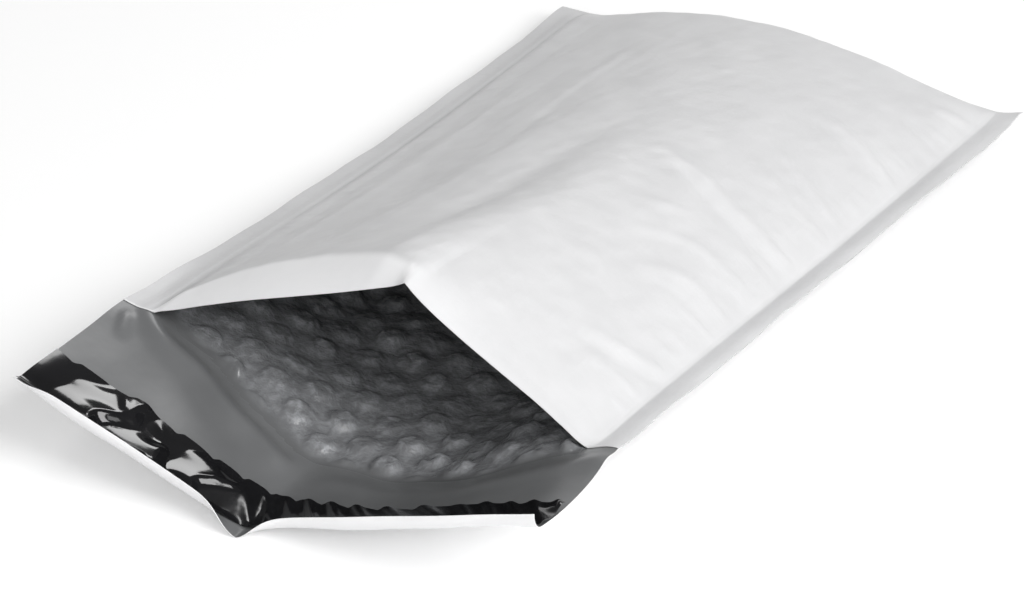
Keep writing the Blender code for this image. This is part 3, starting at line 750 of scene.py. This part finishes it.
def bubble_domes(x, q):
    """Share of full height of the bubbles over the flat sheet. Centres stand in close-packed rows along the
    sheet; each dome is a flattened cap with its own height and place, and a bell-shaped dent."""
    column = BUBBLE_PITCH * np.sqrt(3) / 2
    radius = BUBBLE_WIDTH / 2
    height = np.zeros(x.shape)
    for near in (0, 1):
        i = np.floor(x / column) + near
        shift = np.mod(i, 2) * 0.5
        j = np.round(q / BUBBLE_PITCH - shift)
        away_x = x - i * column - BUBBLE_STRAY * (scatter(i, j, 1) - 0.5)
        away_q = q - (j + shift) * BUBBLE_PITCH - BUBBLE_STRAY * (scatter(i, j, 2) - 0.5)
        inward = 1.0 - np.hypot(away_x, away_q) / radius
        full = lerp(BUBBLE_LOWEST, 1.0, scatter(i, j, 3))
        cap = smooth(inward / BUBBLE_SIDE) * (1.0 - BUBBLE_CROWN * np.clip(inward, 0.0, 1.0))
        turn = 2 * np.pi * scatter(i, j, 4)
        sideways = (away_x * np.cos(turn) + away_q * np.sin(turn)) / radius
        dent = BUBBLE_DENT * scatter(i, j, 5) * bell(sideways - BUBBLE_DENT_PLACE, BUBBLE_DENT_WIDTH)
        height = np.maximum(height, cap * full * (1.0 - dent))
    return height


def lining_layer(surface, side, share, start_y):
    """Grid of one layer of the lining on a surface of the bag: side runs from -1 to 1 across it, and share
    from 0 at start_y to 1 at the closed end."""
    y = lerp(start_y[None, :], BODY_LENGTH - LINING_END_GAP, share[:, None])
    x = side[None, :] * lerp(LINING_HALF_MOUTH, LINING_HALF_END, along(y))
    return np.stack([x, y, surface(x, y)], axis=-1)


def bubbles_in_room(x, q, room, edge_gap):
    """Share and height of the domes. They keep off the border and within half the pocket's height, less
    the sheet below them."""
    inset = np.minimum(edge_gap, LINING_HALF_MOUTH - np.abs(x))
    share = bubble_domes(x, q) * smooth((inset - BUBBLE_BORDER) / BUBBLE_BORDER_FADE)
    return share, np.minimum(share * BUBBLE_HEIGHT, np.clip(room - LINING_STAND - LINING_APART, 0.0, None))


def lower_sheet(x, y, room, edge_gap):
    """How far the lower layer's inner side stands off the bag's outer surface, and how thick it is. It is
    tacked down along its edge and lies in loose waves where the pocket is high."""
    free = smooth(edge_gap / LINING_EDGE_FREE)
    roomy = smooth((room - LINING_SLACK_ROOM) / LINING_SLACK_ROOM)
    loose = roomy * smooth((edge_gap - LINING_SLACK_START) / LINING_SLACK_REACH)
    waves = 1 + ripple(x, y, waves=7, shortest=16 * MM, longest=36 * MM, seed=31)
    height = FILM_THICKNESS + lerp(-LINING_EDGE_SINK, LINING_THICKNESS + LINING_CLEARANCE, free)
    height = height + LINING_SLACK * waves * loose
    thickness = lerp(LINING_EDGE_THICKNESS, LINING_THICKNESS, free)
    return np.minimum(height, np.maximum(room - LINING_APART, LINING_LEAST)), thickness


def upper_sheet(x, y, room):
    """How far the upper layer's inner side stands off: more below the ridge's peak, by a bell-shaped curve
    both across and along the bag."""
    apex = bell(x - ridge_line(y), LINING_APEX_WIDTH) * bell(y, LINING_APEX_REACH)
    height = LINING_STAND + LINING_APEX_DROP * apex
    return np.minimum(height, np.maximum(room - LINING_APART, LINING_LEAST))


def bubble_lining(film):
    """One sheet of bubble film inside the bag, folded at the closed end. It follows the outer film at a
    clearance, and its domes stand towards the middle of the pocket. The lower layer lies on the back panel,
    and the upper one hangs below the front panel."""
    side = steps(-1.0, 176, 1.0)
    low_start = lining_edge(side * LINING_HALF_MOUTH)
    high_start = np.full(side.shape, LINING_UPPER_EDGE)
    low = lining_layer(back_z, side, steps(0.0, 62, 0.2, 46, 0.5, 34, 1.0), low_start)
    high = lining_layer(front_z, side, steps(1.0, 84, 0.0)[1:], high_start)
    low_x, low_y, low_z = np.moveaxis(low, -1, 0)
    high_x, high_y, high_z = np.moveaxis(high, -1, 0)

    pocket = np.clip(front_z(low_x, np.clip(low_y, 0, None)) - low_z, 0.0, None)
    low_room = np.where(low_y < 0, OPEN_AIR, pocket) / 2
    high_room = (high_z - back_z(high_x, high_y)) / 2
    edge_gap = low_y - lining_edge(low_x)
    low_height, low_thickness = lower_sheet(low_x, low_y, low_room, edge_gap)
    high_height = upper_sheet(high_x, high_y, high_room)
    low_share, low_dome = bubbles_in_room(low_x, low_y, low_room, edge_gap)
    high_share, high_dome = bubbles_in_room(high_x, high_y + BUBBLE_PITCH / 4, high_room, high_y)

    normals = np.concatenate([grid_normals(low), grid_normals(high)])
    inward = np.concatenate([low_height + low_dome, high_height + high_dome])
    outward = np.concatenate([low_height - low_thickness, high_height - LINING_THICKNESS])
    base = np.concatenate([low, high])
    inner = base + normals * inward[..., None]
    outer = base + normals * outward[..., None]
    dome = np.concatenate([low_share, high_share])
    low_border = 1.0 - smooth((edge_gap - BORDER_TONE_START) / BORDER_TONE_FADE)
    border = np.concatenate([low_border, np.zeros(high_y.shape)])
    piece = shell("bubble_lining_sheet", outer, inner, [film], [("dome", dome), ("border", border)])
    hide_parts("bubble_lining")
    return piece


def band_on_flap(lift, inset, rows, columns):
    """Grids of points over the flap between two lines across it, a given height above the film. The outer
    line keeps a margin to the flap's edge, which a bell-shaped curve widens at the crease. The inner one
    has the liner's notches, or lies straight behind them where the band is set in."""
    v = np.linspace(0.0, 1.0, rows + 1)[:, None]
    u = np.linspace(0.0, 1.0, columns + 1)[None, :]
    x_guess = lerp(outer_edge(-1, LINER_INNER_EDGE), outer_edge(1, LINER_INNER_EDGE), u)
    creased = bell(x_guess - CREASE_X, LINER_CREASE_REACH)
    low_y = -(FLAP_LENGTH - lerp(LINER_MARGIN, LINER_MARGIN_CREASE, creased)) + inset
    high_y = LINER_INNER_EDGE - inset + (liner_edge_wave(x_guess) if inset == 0.0 else -LINER_NOTCH)
    y = lerp(low_y, high_y, v)
    side = LINER_SIDE_MARGIN + inset
    x = lerp(outer_edge(-1, y) + side, outer_edge(1, y) - side, u)
    z = back_z(x, y) + FILM_THICKNESS + lift
    return x, y, z


def adhesive_band(adhesive):
    """The band of adhesive on the film, all of it under the liner."""
    x, y, z = band_on_flap(ADHESIVE_LIFT, ADHESIVE_INSET, rows=10, columns=120)
    outer = curled(np.stack([x, y, z], axis=-1), y)
    inner = outer + ADHESIVE_THICKNESS * grid_normals(outer)
    piece = shell("adhesive_band", outer, inner, [adhesive])
    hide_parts("adhesive_strip")
    return piece


# Places where the liner has come off the adhesive: left end, width, middle along the flap, half length,
# height in millimetres, and how far it leans
LINER_BLISTERS = [
    (-69, 20, -42, 15, 2.4, 0.5),
    (-50, 16, -47, 10, 1.8, -0.3),
    (-34, 14, -42, 9, 1.5, 0.6),
]
LINER_CREASES = [
    ((-58, -30), (-53, -35), (-50, -40), 0.28, 1.1, True),
    ((-46, -33), (-41, -36), (-38, -43), 0.25, 1.1, True),
    ((-24, -34), (-22, -40), (-27, -46), 0.25, 1.1, True),
    ((84, -25), (80, -31), (77, -39), 0.9, 2.8, True),
]


def liner_blisters(x, y):
    """Each blister rises evenly from its left end to its crest and falls smoothly behind it, under a smooth
    window along the flap. Sines of the place bend its outline."""
    bent_x = x + 1.6 * MM * np.sin(y / (3.1 * MM) + x / (6 * MM)) + sine(y, 0.7, 1.5)
    bent_y = y + sine(x, 1.8, 3.7)
    total = 0.0 * x
    for left, width, middle, half, height, lean in LINER_BLISTERS:
        up = bent_y - middle * MM
        u = (bent_x - left * MM - lean * up) / (width * MM)
        slope = np.clip(u / BLISTER_CREST, 0.0, 1.0) * smooth((1.0 - u) / (1.0 - BLISTER_CREST))
        window = smooth((1.0 - np.abs(up) / (half * MM)) * 2)
        total = total + height * MM * slope * window
    return total


def liner_ripples(x, y):
    """Blisters and low waves on the left half, and towards the right tighter slanted ripples: the square of
    a sine whose phase a slower sine shifts."""
    slant = (x + RIPPLE_SLANT * (y - RIPPLE_MIDDLE_Y)) / RIPPLE_LENGTH
    bunch = 0.5 + 0.5 * np.sin(2 * np.pi * slant + 2.0 * np.sin(x / (11 * MM)))
    right = smooth((x - RIPPLE_START_X) / RIPPLE_STEP)
    left = LINER_WAVE * (1 + ripple(x, y, waves=6, shortest=18 * MM, longest=34 * MM, seed=17))
    wrinkles = lerp(left, RIPPLE_HEIGHT * bunch ** 2, right)
    return wrinkles + liner_blisters(x, y) + fold_height(x, y, LINER_CREASES)


def liner_edge_wave(x):
    """The liner's inner edge is a little wavy, with slanted notches where it is puckered: a sawtooth of the
    way across, its teeth warped by a slow sine and raised to the third power."""
    tooth = np.mod(x / LINER_TOOTH + 0.7 * np.sin(x / (19 * MM)), 1.0)
    return sine(x, 0.5, 14) - LINER_NOTCH * tooth ** 3 * smooth((1.0 - tooth) * 6)


def release_liner(black):
    """The tape over the adhesive, blistered on the left and puckered on the right."""
    x, y, z = band_on_flap(LINER_LIFT, 0.0, rows=34, columns=330)
    outer = curled(np.stack([x, y, z + liner_ripples(x, y)], axis=-1), y)
    inner = outer + LINER_THICKNESS * grid_normals(outer)
    piece = shell("release_liner_tape", outer, inner, [black])
    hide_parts("release_liner")
    return piece


# Numbers of the colour sockets of the node that mixes two colours
COLOUR_A = 6
COLOUR_B = 7
MIXED = 2


def linear(code):
    """Linear colour of an sRGB hex code."""
    value = np.array([int(code[k:k + 2], 16) for k in (1, 3, 5)]) / 255
    low = value / 12.92
    high = ((value + 0.055) / 1.055) ** 2.4
    return (*np.where(value <= 0.04045, low, high), 1.0)


def add(tree, kind, inputs=None, **settings):
    """A node with its settings; each input is a value or the socket that feeds it."""
    node = tree.nodes.new(kind)
    for key, value in settings.items():
        setattr(node, key, value)
    for key, value in (inputs or {}).items():
        if isinstance(value, bpy.types.NodeSocket):
            tree.links.new(value, node.inputs[key])
        else:
            node.inputs[key].default_value = value
    return node


def new_material(name, **shader_values):
    """A material with its Principled shader set, and its node tree, shader and object coordinates."""
    material = bpy.data.materials.new(name)
    material.use_nodes = True
    tree = material.node_tree
    shader = tree.nodes["Principled BSDF"]
    for key, value in shader_values.items():
        shader.inputs[key].default_value = value
    where = add(tree, "ShaderNodeTexCoord").outputs["Object"]
    return material, tree, shader, where


def white_blown_polyethylene():
    """Blown polyethylene film filled with titanium white: satin, faintly mottled, finely crinkled, with
    draw lines along the bag. The dark lining behind it greys it on the panels; the grey on the welds is
    painted shade, and the facets' lighter white is painted light."""
    material, tree, shader, where = new_material("white_blown_polyethylene", Roughness=0.4, IOR=1.51)
    mottle = add(tree, "ShaderNodeTexNoise", {"Vector": where, "Scale": 1 / (14 * MM), "Detail": 3.0})
    # Grey from the lining, with painted shade on the welds and painted light on the facets
    lining_grey_and_painted_light = add(tree, "ShaderNodeAttribute", attribute_name="lining_grey_and_painted_light").outputs["Fac"]
    spot = add(tree, "ShaderNodeMapRange", {"Value": mottle.outputs["Fac"], "From Min": 0.3, "From Max": 0.7,
                                            "To Min": -0.05, "To Max": 0.05})
    grey = add(tree, "ShaderNodeMath", {0: lining_grey_and_painted_light, 1: spot.outputs["Result"]}, operation="ADD",
               use_clamp=True)
    colour = add(tree, "ShaderNodeMix", {"Factor": grey.outputs[0], COLOUR_A: linear("#f5f5f6"),
                                         COLOUR_B: linear("#c5c5c6")}, data_type="RGBA")
    tree.links.new(colour.outputs[MIXED], shader.inputs["Base Color"])
    crinkle = add(tree, "ShaderNodeTexNoise", {"Vector": where, "Scale": 1 / (5 * MM), "Detail": 4.0,
                                               "Roughness": 0.55})
    drawn = add(tree, "ShaderNodeMapping", {"Vector": where, "Scale": (1.0, 0.06, 1.0)})
    lines = add(tree, "ShaderNodeTexNoise", {"Vector": drawn.outputs["Vector"], "Scale": 1 / (1.6 * MM),
                                             "Detail": 2.0})
    both = add(tree, "ShaderNodeMath", {0: lines.outputs["Fac"], 1: 0.35, 2: crinkle.outputs["Fac"]},
               operation="MULTIPLY_ADD")
    bump = add(tree, "ShaderNodeBump", {"Height": both.outputs[0], "Strength": 0.5, "Distance": 0.3 * MM})
    tree.links.new(bump.outputs["Normal"], shader.inputs["Normal"])
    return material


def grey_blown_polyethylene():
    """The film's carbon-filled inner side: smooth mid grey with a soft shine."""
    material, tree, shader, where = new_material("grey_blown_polyethylene", Roughness=0.34, IOR=1.51)
    mottle = add(tree, "ShaderNodeTexNoise", {"Vector": where, "Scale": 1 / (22 * MM), "Detail": 3.0})
    colour = add(tree, "ShaderNodeMix", {"Factor": mottle.outputs["Fac"], COLOUR_A: linear("#5a5b5c"),
                                         COLOUR_B: linear("#707172")}, data_type="RGBA")
    tree.links.new(colour.outputs[MIXED], shader.inputs["Base Color"])
    crinkle = add(tree, "ShaderNodeTexNoise", {"Vector": where, "Scale": 1 / (7 * MM), "Detail": 3.0})
    bump = add(tree, "ShaderNodeBump", {"Height": crinkle.outputs["Fac"], "Strength": 0.35,
                                        "Distance": 0.25 * MM})
    tree.links.new(bump.outputs["Normal"], shader.inputs["Normal"])
    return material


def smoke_bubble_film():
    """Thin smoke-tinted bubble film, blown and heat-formed: clear enough at its plain border for the grey
    film to show through, with slack crumpled domes. Lighter wisps on the domes are painted sheen, and the
    darker gaps between them painted shade."""
    material, tree, shader, where = new_material("smoke_bubble_film", Roughness=0.16, IOR=1.51)
    dome = add(tree, "ShaderNodeAttribute", attribute_name="dome").outputs["Fac"]
    border = add(tree, "ShaderNodeAttribute", attribute_name="border").outputs["Fac"]
    # Painted sheen: wisps of noise, stronger on the domes, lighten the colour; the gaps stay darker as
    # painted shade
    wisps = add(tree, "ShaderNodeTexNoise", {"Vector": where, "Scale": 1 / (3.6 * MM), "Detail": 4.0,
                                             "Roughness": 0.6, "Distortion": 0.5})
    sharp = add(tree, "ShaderNodeMapRange", {"Value": wisps.outputs["Fac"], "From Min": 0.42,
                                             "From Max": 0.7})
    lift = add(tree, "ShaderNodeMath", {0: dome, 1: 0.6, 2: 0.4}, operation="MULTIPLY_ADD")
    lit = add(tree, "ShaderNodeMath", {0: lift.outputs[0], 1: sharp.outputs["Result"]}, operation="MULTIPLY")
    painted_sheen_colour = add(tree, "ShaderNodeMix", {"Factor": lit.outputs[0], COLOUR_A: linear("#757678"),
                                       COLOUR_B: linear("#acaeb1")}, data_type="RGBA")
    colour = add(tree, "ShaderNodeMix", {"Factor": border, COLOUR_A: painted_sheen_colour.outputs[MIXED],
                                         COLOUR_B: linear("#636465")}, data_type="RGBA")
    tree.links.new(colour.outputs[MIXED], shader.inputs["Base Color"])
    crumple = add(tree, "ShaderNodeTexNoise", {"Vector": where, "Scale": 1 / (3.0 * MM), "Detail": 5.0,
                                               "Roughness": 0.6, "Distortion": 0.2})
    slack = add(tree, "ShaderNodeMath", {0: 1.0, 1: border}, operation="SUBTRACT")
    bump = add(tree, "ShaderNodeBump", {"Height": crumple.outputs["Fac"], "Strength": slack.outputs[0],
                                        "Distance": 0.85 * MM})
    tree.links.new(bump.outputs["Normal"], shader.inputs["Normal"])
    return material


def clear_pressure_sensitive_adhesive():
    """Cast acrylic adhesive: a clear, faintly milky coat, seen only at the edge of the liner."""
    material, tree, shader, where = new_material("clear_pressure_sensitive_adhesive", Roughness=0.25,
                                                 IOR=1.47)
    grain = add(tree, "ShaderNodeTexNoise", {"Vector": where, "Scale": 1 / (3 * MM)})
    colour = add(tree, "ShaderNodeMix", {"Factor": grain.outputs["Fac"], COLOUR_A: linear("#8a8a86"),
                                         COLOUR_B: linear("#a0a09c")}, data_type="RGBA")
    tree.links.new(colour.outputs[MIXED], shader.inputs["Base Color"])
    return material


def black_siliconised_liner():
    """Black plastic film coated with silicone: nearly mirror-smooth, so it shows sharp bent reflections."""
    material, tree, shader, where = new_material("black_siliconised_liner", Roughness=0.1, IOR=1.5)
    dust = add(tree, "ShaderNodeTexNoise", {"Vector": where, "Scale": 1 / (9 * MM), "Detail": 3.0})
    colour = add(tree, "ShaderNodeMix", {"Factor": dust.outputs["Fac"], COLOUR_A: linear("#121213"),
                                         COLOUR_B: linear("#1c1c1e")}, data_type="RGBA")
    tree.links.new(colour.outputs[MIXED], shader.inputs["Base Color"])
    wrinkle = add(tree, "ShaderNodeTexNoise", {"Vector": where, "Scale": 1 / (6 * MM), "Detail": 2.0})
    bump = add(tree, "ShaderNodeBump", {"Height": wrinkle.outputs["Fac"], "Strength": 0.2,
                                        "Distance": 0.2 * MM})
    tree.links.new(bump.outputs["Normal"], shader.inputs["Normal"])
    return material


# Table, light and camera
FLOOR_SIZE = 6.0
FLOOR_DROP = 0.1 * MM           # the table lies this far below the film, so that the two don't coincide
FLOOR_GLOW = 0.21
WORLD_LIGHT = 0.36
WORLD_OVERHEAD = 0.1            # what shiny surfaces see above them
WHITE = (1.0, 1.0, 1.0, 1.0)
BAG_MIDDLE = (0, 0, 0.02)
FLAP_MIDDLE = (-0.05, MOUTH_Y - 0.04, 0.02)
CAMERA_PLACE = (460.57 * MM, MOUTH_Y - 729.37 * MM, 541.20 * MM)
CAMERA_TILT = 60.2              # degrees from straight down
CAMERA_TURN = 29.6              # degrees to the left
CAMERA_LENS = 131.3             # millimetres, on a sensor 36 mm wide
CAMERA_SENSOR = 36.0


def studio_floor():
    """A plain white table. What the camera and shiny surfaces see of it glows as well, so that it is white
    where it is lit and keeps the shadow."""
    half = FLOOR_SIZE / 2
    corners = [(x, y, -FLOOR_DROP) for x, y in ((-half, -half), (half, -half), (half, half), (-half, half))]
    mesh = bpy.data.meshes.new("studio_floor")
    mesh.from_pydata(corners, [], [(0, 1, 2, 3)])
    floor = bpy.data.objects.new("studio_floor", mesh)
    bpy.context.scene.collection.objects.link(floor)
    material = bpy.data.materials.new("matt_white_table")
    material.use_nodes = True
    tree = material.node_tree
    tree.nodes.clear()
    path = add(tree, "ShaderNodeLightPath")
    direct = add(tree, "ShaderNodeMath", {0: path.outputs["Is Camera Ray"],
                                          1: path.outputs["Is Glossy Ray"]}, operation="MAXIMUM")
    seen = add(tree, "ShaderNodeMath", {0: direct.outputs[0], 1: path.outputs["Is Transmission Ray"]},
               operation="MAXIMUM")
    diffuse = add(tree, "ShaderNodeBsdfDiffuse", {"Color": linear("#e6e6e6")})
    glow = add(tree, "ShaderNodeEmission", {"Color": WHITE, "Strength": FLOOR_GLOW})
    both = add(tree, "ShaderNodeAddShader", {0: diffuse.outputs[0], 1: glow.outputs[0]})
    mix = add(tree, "ShaderNodeMixShader", {0: seen.outputs[0], 1: diffuse.outputs[0], 2: both.outputs[0]})
    add(tree, "ShaderNodeOutputMaterial", {"Surface": mix.outputs[0]})
    mesh.materials.append(material)


def studio_world():
    """White where the camera sees it. Shiny surfaces see it white near the horizon and dark above it, as
    below a studio's black ceiling, and it lights the object evenly."""
    world = bpy.data.worlds.new("white_studio")
    bpy.context.scene.world = world
    world.use_nodes = True
    tree = world.node_tree
    tree.nodes.clear()
    way = add(tree, "ShaderNodeTexCoord").outputs["Generated"]
    up = add(tree, "ShaderNodeSeparateXYZ", {"Vector": way}).outputs["Z"]
    shown = add(tree, "ShaderNodeMapRange", {"Value": up, "From Min": 0.2, "From Max": 0.4, "To Min": 1.0,
                                             "To Max": WORLD_OVERHEAD}, interpolation_type="SMOOTHSTEP")
    path = add(tree, "ShaderNodeLightPath")
    shiny = add(tree, "ShaderNodeMath", {0: path.outputs["Is Glossy Ray"],
                                         1: path.outputs["Is Transmission Ray"]}, operation="MAXIMUM")
    lit = add(tree, "ShaderNodeMix", {"Factor": shiny.outputs[0], "A": WORLD_LIGHT,
                                      "B": shown.outputs["Result"]}, data_type="FLOAT")
    strength = add(tree, "ShaderNodeMix", {"Factor": path.outputs["Is Camera Ray"],
                                           "A": lit.outputs["Result"], "B": 1.0}, data_type="FLOAT")
    back = add(tree, "ShaderNodeBackground", {"Color": WHITE, "Strength": strength.outputs["Result"]})
    add(tree, "ShaderNodeOutputWorld", {"Surface": back.outputs[0]})


def soft_box(name, aim, direction, distance, size, radiance):
    """A rectangular lamp that looks at aim from a direction. radiance is its brightness as seen."""
    light = bpy.data.lights.new(name, "AREA")
    light.shape = "RECTANGLE"
    light.size, light.size_y = size
    light.energy = radiance * np.pi * size[0] * size[1]
    box = bpy.data.objects.new(name, light)
    bpy.context.scene.collection.objects.link(box)
    way = np.array(direction, float) / np.linalg.norm(direction)
    box.location = np.array(aim) + way * distance
    box.rotation_euler = Vector(way).to_track_quat("Z", "Y").to_euler()


def camera():
    """The photograph's view: from the right, above the flap, through a long lens."""
    data = bpy.data.cameras.new("photo_view")
    data.sensor_width = CAMERA_SENSOR
    data.lens = CAMERA_LENS
    view = bpy.data.objects.new("photo_view", data)
    bpy.context.scene.collection.objects.link(view)
    view.location = CAMERA_PLACE
    view.rotation_euler = (np.radians(CAMERA_TILT), 0.0, np.radians(CAMERA_TURN))
    bpy.context.scene.camera = view


envelope_film(white_blown_polyethylene(), grey_blown_polyethylene())
bubble_lining(smoke_bubble_film())
adhesive_band(clear_pressure_sensitive_adhesive())
release_liner(black_siliconised_liner())
studio_floor()
studio_world()
soft_box("key_box", BAG_MIDDLE, direction=(0.70, -0.18, 0.55), distance=1.6, size=(0.9, 0.9), radiance=9.4)
soft_box("front_box", BAG_MIDDLE, direction=(0.36, -0.75, 0.45), distance=1.8, size=(1.2, 0.8), radiance=3.2)
soft_box("back_box", FLAP_MIDDLE, direction=(-0.225, 0.7545, 0.617), distance=1.2, size=(0.26, 0.3),
         radiance=7.0)
camera()
bpy.context.scene.view_settings.view_transform = "Standard"
